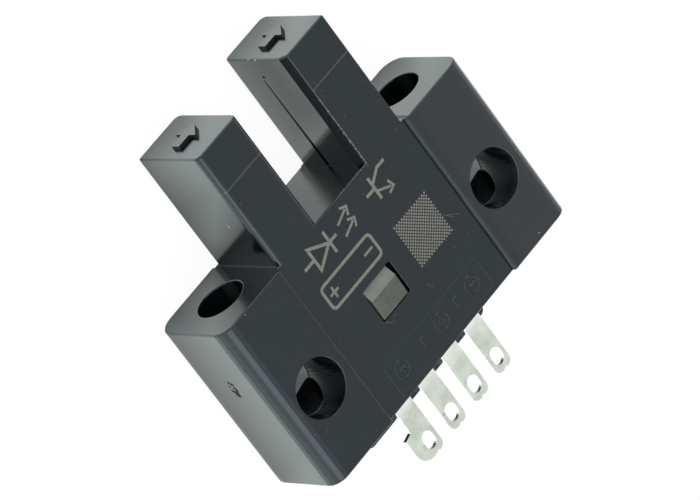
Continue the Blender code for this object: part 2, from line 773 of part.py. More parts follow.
def make_lead(name, points):
    """A round lead along points, which run from the package to the board."""
    curve = bpy.data.curves.new(name, "CURVE")
    curve.dimensions = "3D"
    curve.bevel_depth = LEAD_DIAMETER / 2 * MM
    curve.bevel_resolution = LEAD_ROUNDNESS
    curve.use_fill_caps = True
    spline = curve.splines.new("POLY")
    spline.points.add(len(points) - 1)
    for target, point in zip(spline.points, points):
        target.co = (*(Vector(point) * MM), 1.0)
    lead = bpy.data.objects.new(name, curve)
    bpy.context.collection.objects.link(lead)
    return lead


def make_leads(name, side, bent):
    """One lead on each face of the board, and a third one bent to the front where asked."""
    x = package_x(side)
    top = AXIS_HEIGHT - PACKAGE_HEIGHT / 2 - FIT
    bottom = BOARD_TOP - LEAD_ON_BOARD
    clear = LEAD_DIAMETER / 2 + SOLDER_GAP
    front = BOARD_FRONT_LEVEL + clear
    back = BOARD_BACK_LEVEL - clear
    routes = [[(x, top, front), (x, bottom, front)], [(x, top, back), (x, bottom, back)]]
    if bent:
        outer = front + (front - back)
        inner_x = x - side * LEAD_SPREAD
        knee = -SLOT_FLOOR_WALL + LEAD_BEND_LENGTH
        foot = -SLOT_FLOOR_WALL
        routes.append(
            [(x, top, outer), (x, knee, outer), (inner_x, foot, front), (inner_x, bottom, front)]
        )
    return [make_lead(f"{name}_lead_{index + 1}", route) for index, route in enumerate(routes)]


def main():
    for old in list(bpy.data.objects):
        bpy.data.objects.remove(old)
    pieces = [
        (make_case(), "case"),
        (make_base(), "terminal_base"),
        (make_light_pipe(), "indicator_light_pipe"),
        (make_board(), "circuit_board"),
        (make_package("emitter", -1), "emitter"),
        (make_package("receiver", 1), "receiver"),
    ]
    pieces += [(make_terminal(i, x), "terminal") for i, x in enumerate(terminal_centres())]
    pieces += make_chips()
    pieces += [(lead, "lead") for lead in make_leads("emitter", -1, bent=False)]
    pieces += [(lead, "lead") for lead in make_leads("receiver", 1, bent=True)]
    datum = bpy.data.objects.new("datum", None)
    bpy.context.collection.objects.link(datum)
    datum.location = (0.0, ORIGIN_SHIFT * MM, 0.0)
    for solid, kind in pieces:
        present(solid, kind, datum)


main()
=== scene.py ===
"""The looks of the slotted optical switch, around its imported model.

Lengths are in metres unless a name ends in _MM. X runs across the slot, Y towards
the post ends and Z out of the front face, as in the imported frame.
"""

import math

import bmesh
import bpy
from mathutils import Matrix, Vector, noise


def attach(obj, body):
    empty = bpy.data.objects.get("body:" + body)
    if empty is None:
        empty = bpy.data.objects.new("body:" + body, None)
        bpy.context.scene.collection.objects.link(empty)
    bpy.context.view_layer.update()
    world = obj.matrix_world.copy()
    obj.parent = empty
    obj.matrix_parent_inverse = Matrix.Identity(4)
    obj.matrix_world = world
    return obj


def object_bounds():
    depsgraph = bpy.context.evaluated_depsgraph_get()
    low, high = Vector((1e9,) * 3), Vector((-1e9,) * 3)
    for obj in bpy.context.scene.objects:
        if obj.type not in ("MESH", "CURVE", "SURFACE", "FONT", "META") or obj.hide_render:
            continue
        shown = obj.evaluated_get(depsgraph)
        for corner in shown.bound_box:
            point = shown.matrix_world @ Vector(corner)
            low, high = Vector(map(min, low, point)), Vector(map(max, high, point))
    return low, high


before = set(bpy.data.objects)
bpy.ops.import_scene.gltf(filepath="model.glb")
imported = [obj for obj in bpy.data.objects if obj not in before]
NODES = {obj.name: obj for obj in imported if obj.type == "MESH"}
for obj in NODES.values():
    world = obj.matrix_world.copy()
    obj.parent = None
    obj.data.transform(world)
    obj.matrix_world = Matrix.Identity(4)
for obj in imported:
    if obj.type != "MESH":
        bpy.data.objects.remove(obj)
CAD_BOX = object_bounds()

MM = 0.001

# Camera, as fitted to the photograph; angles in degrees
CAMERA_TARGET_MM = (-0.08, 0.05, 3.5)
CAMERA_AZIMUTH = 135.02
CAMERA_ELEVATION = 52.14
CAMERA_DISTANCE_MM = 372.1
CAMERA_ROLL = 91.5
CAMERA_LENS = 303.8
CAMERA_CLIP_START = 0.01
SENSOR_WIDTH = 36.0

# The case's places that the floor's glow, the marks and the materials share
SLOT_FLOOR_MM = 4.885
FRONT_MM = 6.7
BODY_HALF_MM = 6.9
FLANGE_HALF_MM = 12.7
HOLE_CENTRES_MM = ((-9.5, -2.715), (9.5, -2.715))
HOLE_RADIUS_MM = 1.95
HOLE_WAIST_RADIUS_MM = 1.84
END_HOLE_RADIUS_MM = 1.65
END_HOLE_LEVEL_MM = 3.5

# World: its brightness from left to right, and a bright box by its lean from straight up and its Y
SKY_STRENGTH = 1.67
SKY_ACROSS = [(0.0, 0.96), (0.15, 1.0), (0.3, 0.72), (0.5, 0.53), (0.7, 0.49), (1.0, 0.49)]
BOX_STRENGTH = 1.78
BOX_LEAN = [(0.465, 0.0), (0.53, 1.0), (0.56, 1.0), (0.66, 0.0)]
BOX_DEPTH = [(0.1, 0.0), (0.17, 1.0), (0.4, 1.0), (0.5, 0.0)]

# The lamp behind the part on the right
LAMP_DIRECTION = (0.43, 0.79, 0.43)
LAMP_DISTANCE = 0.5
LAMP_SIZE = (0.3, 0.14)
LAMP_RADIANCE = 1.33

# Floor: a matt sheet that camera rays see nearly white
FLOOR_SIZE = 4.0
FLOOR_DROP_MM = 0.02
PAPER_COLOUR = (0.85, 0.85, 0.85, 1)
WHITE = (1, 1, 1, 1)
WHITE_STRENGTH = 1.04
WHITE_SHARE = 0.9

# Where the part stands on the floor, as middle and half size in X and Y
FOOTPRINT_MM = (
    ((0.0, -1.665), (12.7, 6.55)),
    ((-1.05, -9.4), (6.45, 1.2)),
    ((-4.55, 9.435), (2.05, 4.55)),
    ((4.55, 9.435), (2.05, 4.55)),
)
SLOT_MM = ((0.0, 9.435), (2.5, 4.55))

# The floor as the part mirrors it, by the distance from the footprint as a share of its reach
GLOW_REACH_MM = 20.0
GLOW_PEAK = 2.78
GLOW_TINT = (0.9, 0.955, 0.91)
GLOW_AROUND = [
    (0.0, 0.12), (0.005, 0.39), (0.04, 0.54), (0.15, 0.9), (0.24, 0.8), (0.4, 0.58), (1.0, 0.56),
]
GLOW_BETWEEN = [(0.0, 0.2), (0.01, 0.56), (0.125, 0.38)]
HOLE_GLOWS = (0.52, 0.72)
HOLE_GLOW_EDGE = [(0.46, 1.0), (0.54, 0.0)]
SHADED_CORNER_MM = (-6.6, 4.885)
SHADED_REACH_MM = 7.0
CORNER_SHADE = [(0.0, 0.6), (0.25, 0.88), (0.6, 0.78), (1.0, 1.0)]

# Strokes on the front face. Places are X and the height above the slot's floor.
STROKE_MM = 0.22
THIN_STROKE_MM = 0.17
MARK_RISE_MM = 0.006
MARK_ROOT_MM = 0.02
LAYER_MM = 0.0015
CIRCLE_STEPS = 28
CORNER_STEPS = 4

SIGN_TOP_MM = -0.75
SIGN_MIDDLE_MM = -1.6
SIGN_BOTTOM_MM = -2.45
LAMP_TRIANGLE_MM = ((-4.3, SIGN_TOP_MM), (-4.3, SIGN_BOTTOM_MM), (-2.75, SIGN_MIDDLE_MM))
SIGN_STROKES_MM = (
    ((-5.3, SIGN_MIDDLE_MM), (-4.3, SIGN_MIDDLE_MM)),
    ((-2.65, SIGN_TOP_MM), (-2.65, SIGN_BOTTOM_MM)),
    ((-2.7, SIGN_MIDDLE_MM), (-1.95, SIGN_MIDDLE_MM)),
    ((1.35, SIGN_MIDDLE_MM), (2.2, SIGN_MIDDLE_MM)),
    ((2.2, SIGN_TOP_MM), (2.2, SIGN_BOTTOM_MM)),
    ((2.2, -1.35), (3.2, SIGN_TOP_MM), (3.95, SIGN_TOP_MM)),
)
# Each arrow's layer, tail and tip
ARROWS_MM = (
    (8, (-1.5, -1.3), (-0.2, -0.85)),
    (10, (-1.5, -2.25), (-0.2, -1.8)),
    (12, (2.2, -1.85), (3.45, -2.47)),
)
ARROW_HEAD_MM = 0.42

# The blank frame, as left, right, bottom and top, and the signs in it
PLATE_MM = (-5.24, -0.1, -5.0, -3.28)
PLATE_CORNER_MM = 0.3
PLATE_MIDDLE_MM = -4.14
PLUS_X_MM = -4.5
MINUS_X_MM = -0.85
ARM_MM = 0.42

CHECK_LEFT_MM = 1.55
CHECK_TOP_MM = -4.45
CHECK_SIZE_MM = 3.4
CHECK_COUNT = 25

SCUFF_MM = 0.045
SCUFFS_MM = (
    ((5.0, -6.6), (6.1, -7.5)),
    ((5.15, -6.75), (5.6, -7.3)),
    ((-2.9, -8.3), (-2.5, -8.75)),
    ((1.1, -8.9), (1.35, -9.4)),
)

# The moulded signs by the terminals: width and rise of each bead
BEAD_MM = (0.13, 0.035)
PANEL_BEAD_MM = (0.09, 0.02)
PANEL_MM = (-5.0, 5.05, -12.7, -10.35)
PANEL_CORNER_MM = 0.1
RING_PLACES_MM = ((-3.9, -11.45), (0.4, -11.45), (3.75, -11.45))
RING_RADIUS_MM = 0.6
RING_ARM_MM = 0.3
DOT_RADIUS_MM = 0.22
HOOK_PLACES_MM = ((-1.6, -11.7), (2.0, -11.7))
HOOK_SIZE_MM = (0.3, 0.6)

# The lip between the crossing holes: its span in degrees and its round section
RIM_SPAN = (64, 124)
RIM_STEPS = 14
RIM_SIDES = 8
RIM_BEAD_MM = 0.05
RIM_END_SHARE = 0.05
RIM_TAPER = 0.6
RIM_LOOK_AHEAD = 0.01

# The torn gate on the left flange's side. Places are along Y and up Z from its middle.
GATE_PLACE_MM = (0.165, 3.75)
GATE_RADIUS_MM = 0.74
SCAR_HALF_MM = (0.74, 0.38)
SCAR_PIT_MM = (-0.42, 0.0)
SCAR_PIT_RADIUS_MM = 0.25
SCAR_FLUSH_MM = 0.004
SCAR_DEPTH_MM = 0.028
SCAR_ROOT_MM = 0.12
SCAR_RINGS = 24
SCAR_TURNS = 80
# Its roughness: noise scales along and up with the slice taken, and the weight of each
SCAR_COARSE = (5.0, 6.0, 0.3)
SCAR_FINE = (13.0, 13.0, 4.0)
SCAR_COARSE_WEIGHT = 2.2
SCAR_FINE_WEIGHT = 1.1
SCAR_BIAS = 0.25
SCAR_PIT_LEVEL = 1.6
SCAR_RIM_SLOPE = 4

# Bands where the case's material changes, as middle and half width along X or Y
FLOOR_Y_MM = (SLOT_FLOOR_MM, 0.05)
SLOT_X_MM = (0.0, 2.6)
STEP_X_MM = (7.0, 0.16)
END_MARK_Y_MM = (14.11, 0.11)
LEFT_SHOULDER_X_MM = (-9.7, 3.0)
RIGHT_FLANGE_LIGHT_X_MM = (10.4, 3.0)
AXIS_GROOVE_HIGHLIGHT_Y_MM = (11.005, 0.05)
CORNER_HIGHLIGHT_X_MM = (-6.62, 0.06)
CORNER_HIGHLIGHT_Y_MM = (4.915, 0.06)
FLOOR_EDGE_HIGHLIGHT_X_MM = (1.3, 1.3)
POST_EDGE_X_MM = (2.81, 0.05)
POST_EDGE_HIGHLIGHT_Y_MM = (7.5, 2.6)
FLANGE_BLEND_MM = 0.1
FRONT_SKIN_MM = 0.12
CHAMFER_LIGHT_NORMAL = (-0.89, 0.0, 0.46)
SQUARE_LIMIT = 0.99999

# Light specks and chips on the case: place and radius
LIGHT_SPECKS_MM = (
    ((-10.62, 4.70, 6.95), 0.07),
    ((-6.80, 3.72, 6.97), 0.06),
    ((9.77, -7.80, 7.0), 0.05),
    ((2.52, 13.90, 3.6), 0.09),
    ((2.52, 13.95, 2.9), 0.07),
    ((-6.6, 8.3, 4.7), 0.08),
)

# Terminals: the height of their roots, and how far below it the tip and the eye lie
TERMINAL_ROOT_MM = -8.7
TIP_FROM_ROOT_MM = 5.4
EYE_FROM_ROOT_MM = 3.6
CLEAN_REACH_MM = 4.0

# Colours, linear
PLASTIC_BLACK = (0.0025, 0.004, 0.005)
PLASTIC_SPECULAR = (0.7, 0.83, 0.9, 1)
DUST = (0.20, 0.20, 0.185, 1)
# Painted highlight along the axis groove across the front
AXIS_GROOVE_HIGHLIGHT = (0.045, 0.05, 0.052)
# Painted light on faces turned as the right post's slot-side chamfer
CHAMFER_LIGHT = (0.013, 0.015, 0.0155)
# Painted light: the right flange's front a little lighter
RIGHT_FLANGE_LIGHT = (0.012, 0.013, 0.014)
# Painted highlight where the left post's side meets the left shoulder
CORNER_HIGHLIGHT = (0.035, 0.037, 0.036)
# Painted highlight, broken up, along the slot's front edges
EDGE_HIGHLIGHT = (0.17, 0.18, 0.175)
SPECK = (0.3, 0.3, 0.28)
LASER_DARK = (0.095, 0.092, 0.077)
LASER_LIGHT = (0.15, 0.146, 0.126)
LASER_LINES = (0.19, 0.186, 0.162, 1)
SCUFF_GREY = (0.05, 0.05, 0.048)
# Painted highlight: the grey of the bead on the crossing holes' edge
RIM_HIGHLIGHT_GREY = (0.095, 0.1, 0.1)
TORN_BLACK = (0.012, 0.014, 0.014)
TERMINAL_TIN = (0.75, 0.82, 0.72)
TERMINAL_CLEAN = (0.98, 0.99, 0.96, 1)
TERMINAL_TIP = (0.74, 0.73, 0.71, 1)
TERMINAL_STAIN = (0.33, 0.38, 0.31, 1)
# Partly the dark of sheared edges, partly painted shade on faces towards the case
TERMINAL_SHEARED_AND_SHADED = (0.06, 0.06, 0.055, 1)
LEAD_TIN = (0.75, 0.75, 0.72)
# The light pipe, painted darker on most faces and lighter on those towards the post ends: painted
# shade and light
PIPE_LOWER_SHADED = ((0.046, 0.057, 0.046), (0.073, 0.085, 0.071))
PIPE_UPPER_LIT = ((0.138, 0.157, 0.138), (0.184, 0.203, 0.176))

# What lies inside the case: material name, colour, roughness and the nodes' first letters
INSIDE_SOLIDS = (
    ("lamp_resin", (0.75, 0.35, 0.18), 0.3, ("indicator_led",)),
    ("board_green", (0.02, 0.14, 0.06), 0.4, ("circuit_board",)),
    ("emitter_resin", (0.30, 0.28, 0.42), 0.2, ("emitter",)),
    ("receiver_resin", (0.02, 0.02, 0.03), 0.2, ("receiver",)),
    (
        "chip_resin",
        (0.03, 0.03, 0.033),
        0.5,
        ("amplifier_ic", "output_transistor", "protection_diode"),
    ),
    ("capacitor_ceramic", (0.42, 0.30, 0.19), 0.5, ("capacitor",)),
    ("resistor_glaze", (0.04, 0.04, 0.05), 0.35, ("resistor",)),
)


# Node trees
class Tree:
    """A material's or world's nodes, made and linked by short calls."""

    def __init__(self, owner):
        owner.use_nodes = True
        self.tree = owner.node_tree
        self.tree.nodes.clear()

    def node(self, kind, inputs=None, **settings):
        made = self.tree.nodes.new(kind)
        for name, value in settings.items():
            setattr(made, name, value)
        for name, value in (inputs or {}).items():
            self.feed(made.inputs[name], value)
        return made

    def feed(self, socket, value):
        """A link where value is another node's output, and else the socket's own value."""
        if isinstance(value, bpy.types.NodeSocket):
            self.tree.links.new(value, socket)
        else:
            socket.default_value = value

    def math(self, operation, first, second=0.0):
        made = self.node("ShaderNodeMath", {0: first, 1: second}, operation=operation)
        return made.outputs[0]

    def times(self, first, second):
        return self.math("MULTIPLY", first, second)

    def vector(self, operation, first, second=(0.0, 0.0, 0.0)):
        made = self.node("ShaderNodeVectorMath", {0: first, 1: second}, operation=operation)
        return made.outputs["Value" if operation in ("LENGTH", "DOT_PRODUCT") else "Vector"]

    def distance(self, place, centre):
        return self.vector("LENGTH", self.vector("SUBTRACT", place, centre))

    def box_distance(self, place, box):
        """The distance over the floor from a place to a box's outline."""
        middle, half = box
        away = self.vector("ABSOLUTE", self.vector("SUBTRACT", place, (*middle, 0.0)))
        outside = self.vector("MAXIMUM", self.vector("SUBTRACT", away, (*half, 0.0)))
        return self.vector("LENGTH", outside)

    def component(self, vector, axis):
        return self.node("ShaderNodeSeparateXYZ", {"Vector": vector}).outputs[axis]

    def share(self, value, low, high):
        """Where a value lies between low and high, as zero to one."""
        inputs = {"Value": value, "From Min": low, "From Max": high}
        return self.node("ShaderNodeMapRange", inputs).outputs["Result"]

    def ramp(self, factor, stops):
        """A colour ramp; each stop is a position and a grey value or a colour."""
        made = self.node("ShaderNodeValToRGB", {"Fac": factor})
        elements = made.color_ramp.elements
        while len(elements) < len(stops):
            elements.new(1.0)
        for element, (position, colour) in zip(elements, stops):
            grey = isinstance(colour, float)
            element.position = position
            element.color = (colour, colour, colour, 1.0) if grey else (*colour, 1.0)
        return made.outputs["Color"]

    def band(self, value, middle, half):
        """One where a value lies within half of the middle, with a soft edge."""
        away = self.math("ABSOLUTE", self.math("SUBTRACT", value, middle))
        return self.ramp(self.math("DIVIDE", away, 2 * half), [(0.4, 1.0), (0.6, 0.0)])

    def noise(self, vector, scale, detail=3.0, roughness=0.5):
        inputs = {"Vector": vector, "Scale": scale, "Detail": detail, "Roughness": roughness}
        return self.node("ShaderNodeTexNoise", inputs).outputs["Fac"]

    def grey(self, value):
        return self.node("ShaderNodeCombineXYZ", {"X": value, "Y": value, "Z": value}).outputs[0]

    def mix_colour(self, factor, first, second):
        made = self.node("ShaderNodeMix", data_type="RGBA")
        self.feed(made.inputs[0], factor)
        self.feed(made.inputs[6], first)
        self.feed(made.inputs[7], second)
        return made.outputs[2]

    def mix_shader(self, factor, first, second):
        inputs = {0: factor, 1: first.outputs[0], 2: second.outputs[0]}
        return self.node("ShaderNodeMixShader", inputs)

    def millimetres(self, stretch=(1.0, 1.0, 1.0)):
        """Object coordinates in millimetres, stretched along the axes."""
        place = self.node("ShaderNodeTexCoord").outputs["Object"]
        scale = tuple(s / MM for s in stretch)
        return self.node("ShaderNodeMapping", {"Vector": place, "Scale": scale}).outputs["Vector"]

    def normal(self):
        return self.node("ShaderNodeNewGeometry").outputs["Normal"]

    def bump(self, height, depth_mm, normal=None):
        inputs = {"Height": height, "Distance": depth_mm * MM, "Strength": 1.0}
        if normal is not None:
            inputs["Normal"] = normal
        return self.node("ShaderNodeBump", inputs).outputs["Normal"]

    def surface(self, colour, roughness, normal, more=None):
        """The material's Principled shader, with any further inputs in more."""
        inputs = {"Base Color": colour, "Roughness": roughness, "Normal": normal, **(more or {})}
        self.finish(self.node("ShaderNodeBsdfPrincipled", inputs))

    def finish(self, shader):
        self.node("ShaderNodeOutputMaterial", {"Surface": shader.outputs[0]})


def new_material(name):
    made = bpy.data.materials.new(name)
    return made, Tree(made)


# Camera, light and floor
def make_camera():
    azimuth = math.radians(CAMERA_AZIMUTH)
    elevation = math.radians(CAMERA_ELEVATION)
    outwards = Vector(
        (
            math.cos(elevation) * math.cos(azimuth),
            math.cos(elevation) * math.sin(azimuth),
            math.sin(elevation),
        )
    )
    camera = bpy.data.objects.new("camera", bpy.data.cameras.new("camera"))
    bpy.context.collection.objects.link(camera)
    camera.data.lens = CAMERA_LENS
    camera.data.sensor_width = SENSOR_WIDTH
    camera.data.clip_start = CAMERA_CLIP_START
    level = outwards.to_track_quat("Z", "Y").to_matrix()
    roll = Matrix.Rotation(math.radians(CAMERA_ROLL), 3, "Z")
    camera.matrix_world = (level @ roll).to_4x4()
    camera.location = (Vector(CAMERA_TARGET_MM) + outwards * CAMERA_DISTANCE_MM) * MM
    bpy.context.scene.camera = camera


def ray_kinds(tree):
    """One for camera rays, and one for the glossy and transmission rays."""
    rays = tree.node("ShaderNodeLightPath").outputs
    mirror = tree.math("MAXIMUM", rays["Is Glossy Ray"], rays["Is Transmission Ray"])
    return rays["Is Camera Ray"], mirror


def make_world():
    """A studio that lights and is mirrored, and plain white behind the part."""
    world = bpy.data.worlds.new("studio")
    bpy.context.scene.world = world
    tree = Tree(world)
    direction = tree.node("ShaderNodeTexCoord").outputs["Generated"]
    x, y, z = (tree.component(direction, axis) for axis in "XYZ")
    around = tree.ramp(tree.share(x, -1.0, 1.0), SKY_ACROSS)
    lean = tree.math("ARCTAN2", tree.times(x, -1.0), z)
    wide = tree.ramp(tree.share(lean, -math.pi, math.pi), BOX_LEAN)
    deep = tree.ramp(tree.share(y, -1.0, 1.0), BOX_DEPTH)
    box = tree.times(tree.times(wide, deep), BOX_STRENGTH)
    sky = tree.vector("ADD", tree.vector("MULTIPLY", around, (SKY_STRENGTH,) * 3), tree.grey(box))
    camera_ray, _ = ray_kinds(tree)
    studio = tree.node("ShaderNodeBackground", {"Color": sky, "Strength": 1.0})
    white = tree.node("ShaderNodeBackground", {"Color": WHITE, "Strength": 1.0})
    both = tree.mix_shader(camera_ray, studio, white)
    tree.node("ShaderNodeOutputWorld", {"Surface": both.outputs[0]})


def floor_glow(tree):
    """The lit floor as the part mirrors it, as a glow with painted shade: dark under it except
    below its holes, dim between the posts, shaded in the left corner, bright around.
    """
    position = tree.node("ShaderNodeNewGeometry").outputs["Position"]
    place = tree.vector("MULTIPLY", position, (1 / MM, 1 / MM, 0.0))
    distance = tree.box_distance(place, FOOTPRINT_MM[0])
    for box in FOOTPRINT_MM[1:]:
        distance = tree.math("MINIMUM", distance, tree.box_distance(place, box))
    share = tree.math("DIVIDE", distance, GLOW_REACH_MM)
    in_slot = tree.ramp(tree.box_distance(place, SLOT_MM), [(0.0, 1.0), (1.0, 0.0)])
    bright = tree.mix_colour(in_slot, tree.ramp(share, GLOW_AROUND), tree.ramp(share, GLOW_BETWEEN))
    for centre, glow in zip(HOLE_CENTRES_MM, HOLE_GLOWS):
        away = tree.share(tree.distance(place, (*centre, 0.0)), 0.0, 2 * HOLE_RADIUS_MM)
        bright = tree.mix_colour(tree.ramp(away, HOLE_GLOW_EDGE), bright, (glow, glow, glow, 1))
    corner = tree.share(tree.distance(place, (*SHADED_CORNER_MM, 0.0)), 0.0, SHADED_REACH_MM)
    shaded = tree.vector("MULTIPLY", bright, tree.ramp(corner, CORNER_SHADE))
    return tree.vector("MULTIPLY", shaded, GLOW_TINT)


def make_floor():
    level = CAD_BOX[0][2] - FLOOR_DROP_MM * MM
    bpy.ops.mesh.primitive_plane_add(size=FLOOR_SIZE, location=(0, 0, level))
    floor = bpy.context.object
    floor.name = "floor"
    made, tree = new_material("floor_white")
    paper = tree.node("ShaderNodeBsdfDiffuse", {"Color": PAPER_COLOUR})
    white = tree.node("ShaderNodeEmission", {"Color": WHITE, "Strength": WHITE_STRENGTH})
    glow = tree.node("ShaderNodeEmission", {"Color": floor_glow(tree), "Strength": GLOW_PEAK})
    camera_ray, mirror_ray = ray_kinds(tree)
    direct = tree.mix_shader(tree.times(camera_ray, WHITE_SHARE), paper, white)
    tree.finish(tree.mix_shader(mirror_ray, direct, glow))
    floor.data.materials.append(made)


def make_lamp():
    """A soft box that faces the part, by the brightness of its surface."""
    width, height = LAMP_SIZE
    data = bpy.data.lights.new("far_box", "AREA")
    data.shape = "RECTANGLE"
    data.size = width
    data.size_y = height
    data.energy = LAMP_RADIANCE * math.pi * width * height
    lamp = bpy.data.objects.new("far_box", data)
    bpy.context.collection.objects.link(lamp)
    away = Vector(LAMP_DIRECTION).normalized()
    lamp.location = away * LAMP_DISTANCE
    lamp.rotation_euler = away.to_track_quat("Z", "Y").to_euler()


# Marks and small moulded details
def circle_path(centre, radius):
    angles = [2 * math.pi * step / CIRCLE_STEPS for step in range(CIRCLE_STEPS)]
    return [(centre[0] + radius * math.cos(a), centre[1] + radius * math.sin(a)) for a in angles]


def box_path(left, right, bottom, top, radius):
    """A rectangle with rounded corners, anticlockwise."""
    path = []
    corners = ((right, top, 0), (left, top, 1), (left, bottom, 2), (right, bottom, 3))
    for x, y, turn in corners:
        middle_x = x - radius if x == right else x + radius
        middle_y = y - radius if y == top else y + radius
        for step in range(CORNER_STEPS + 1):
            angle = math.pi / 2 * (turn + step / CORNER_STEPS)
            path.append((middle_x + radius * math.cos(angle), middle_y + radius * math.sin(angle)))
    return path


def join_rings(shape, rings, closed=False):
    """Faces between rings of corners, and over both ends where they don't close on themselves."""
    pairs = list(zip(rings, rings[1:])) + ([(rings[-1], rings[0])] if closed else [])
    for low, high in pairs:
        for index in range(len(low)):
            shape.faces.new((low[index - 1], low[index], high[index], high[index - 1]))
    if not closed:
        shape.faces.new(rings[0])
        shape.faces.new(rings[-1])


def sweep(shape, path, profile, closed=False):
    """Carries a profile of offsets and rises along a path on the front, with mitred corners."""
    points = [Vector(point) for point in path]
    count = len(points)
    rings = []
    for index, here in enumerate(points):
        before = points[index - 1] if closed or index else None
        after = points[(index + 1) % count] if closed or index < count - 1 else None
        run_in = (here - before).normalized() if before else (after - here).normalized()
        run_out = (after - here).normalized() if after else run_in
        left_in = Vector((-run_in.y, run_in.x))
        left_out = Vector((-run_out.y, run_out.x))
        mitre = (left_in + left_out) / (1 + left_in.dot(left_out))
        ring = []
        for offset, rise in profile:
            x, y = here + mitre * offset
            ring.append(shape.verts.new(Vector((x, y + SLOT_FLOOR_MM, FRONT_MM + rise)) * MM))
        rings.append(ring)
    join_rings(shape, rings, closed)


def flat_profile(width, layer=0):
    """A flat stroke; strokes that cross lie in different layers, so that no two tops coincide."""
    half = width / 2
    top = MARK_RISE_MM + layer * LAYER_MM
    return [(-half, -MARK_ROOT_MM), (-half, top), (half, top), (half, -MARK_ROOT_MM)]


def bead_profile(width, rise):
    half = width / 2
    left = [(-half, -MARK_ROOT_MM), (-half, 0.0), (-half / 2, rise)]
    return left + [(-offset, height) for offset, height in reversed(left)]


def draw(shape, paths, closed=False, layer=0, stroke=STROKE_MM):
    """Strokes along paths, each one layer above the one before."""
    for index, path in enumerate(paths):
        sweep(shape, path, flat_profile(stroke, layer + index), closed)


def finish_piece(name, shape, made):
    """Turns a closed shape into a piece that rides on the case."""
    bmesh.ops.recalc_face_normals(shape, faces=shape.faces)
    mesh = bpy.data.meshes.new(name)
    shape.to_mesh(mesh)
    shape.free()
    piece = bpy.data.objects.new(name, mesh)
    bpy.context.collection.objects.link(piece)
    mesh.materials.append(made)
    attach(piece, "root")
    return piece


def arrow_paths(tail, tip):
    """A straight arrow as two strokes: its head, and the shaft that ends behind it."""
    tail, tip = Vector(tail), Vector(tip)
    along = (tip - tail).normalized()
    side = Vector((-along.y, along.x)) * ARROW_HEAD_MM
    back = tip - along * ARROW_HEAD_MM
    return [[back + side, tip, back - side], [tail, tip - along * STROKE_MM]]


def make_symbols(made):
    """The usual signs of a lamp and a light receiver, in place of any lettering."""
    shape = bmesh.new()
    draw(shape, SIGN_STROKES_MM, layer=1)
    draw(shape, [LAMP_TRIANGLE_MM], closed=True)
    for layer, tail, tip in ARROWS_MM:
        draw(shape, arrow_paths(tail, tip), layer=layer, stroke=THIN_STROKE_MM)
    finish_piece("front_symbols", shape, made)


def make_blank_plate(made):
    """A blank frame with the signs of polarity at its ends."""
    shape = bmesh.new()
    draw(shape, [box_path(*PLATE_MM, PLATE_CORNER_MM)], closed=True)
    y = PLATE_MIDDLE_MM
    strokes = [[(x - ARM_MM, y), (x + ARM_MM, y)] for x in (PLUS_X_MM, MINUS_X_MM)]
    strokes.append([(PLUS_X_MM, y - ARM_MM), (PLUS_X_MM, y + ARM_MM)])
    draw(shape, strokes, stroke=THIN_STROKE_MM)
    finish_piece("blank_plate", shape, made)


def make_check_square(made):
    """A plain square of checks."""
    shape = bmesh.new()
    side = CHECK_SIZE_MM / CHECK_COUNT
    for row in range(CHECK_COUNT):
        for column in range(row % 2, CHECK_COUNT, 2):
            left = CHECK_LEFT_MM + side * column
            middle = CHECK_TOP_MM - side * (row + 0.5)
            sweep(shape, [(left, middle), (left + side, middle)], flat_profile(side))
    finish_piece("check_square", shape, made)


def make_moulded_signs(made):
    """Low beads of the moulding itself by the terminals: a frame, three rings and two hooks."""
    shape = bmesh.new()
    profile = bead_profile(*BEAD_MM)
    sweep(shape, box_path(*PANEL_MM, PANEL_CORNER_MM), bead_profile(*PANEL_BEAD_MM), closed=True)
    for centre in RING_PLACES_MM:
        sweep(shape, circle_path(centre, RING_RADIUS_MM), profile, closed=True)
    plus, dot, minus = RING_PLACES_MM
    for x, y in (plus, minus):
        sweep(shape, [(x - RING_ARM_MM, y), (x + RING_ARM_MM, y)], profile)
    x, y = plus
    sweep(shape, [(x, y - RING_ARM_MM), (x, y + RING_ARM_MM)], profile)
    sweep(shape, circle_path(dot, DOT_RADIUS_MM), profile, closed=True)
    width, height = HOOK_SIZE_MM
    for x, y in HOOK_PLACES_MM:
        sweep(shape, [(x, y), (x, y + height), (x + width, y + height)], profile)
    finish_piece("moulded_signs", shape, made)


def make_scuffs(made):
    """Fine light scratches on the front."""
    shape = bmesh.new()
    draw(shape, SCUFFS_MM, stroke=SCUFF_MM)
    finish_piece("front_scuffs", shape, made)


def rim_point(centre, angle):
    """A place on the edge where the hole along the flange breaks into the front hole's wall."""
    across = END_HOLE_RADIUS_MM * math.cos(angle)
    level = END_HOLE_LEVEL_MM + END_HOLE_RADIUS_MM * math.sin(angle)
    draft = HOLE_RADIUS_MM - HOLE_WAIST_RADIUS_MM
    wall = HOLE_WAIST_RADIUS_MM + draft * (level / END_HOLE_LEVEL_MM - 1)
    return Vector((centre[0] + across, centre[1] - math.sqrt(wall**2 - across**2), level))


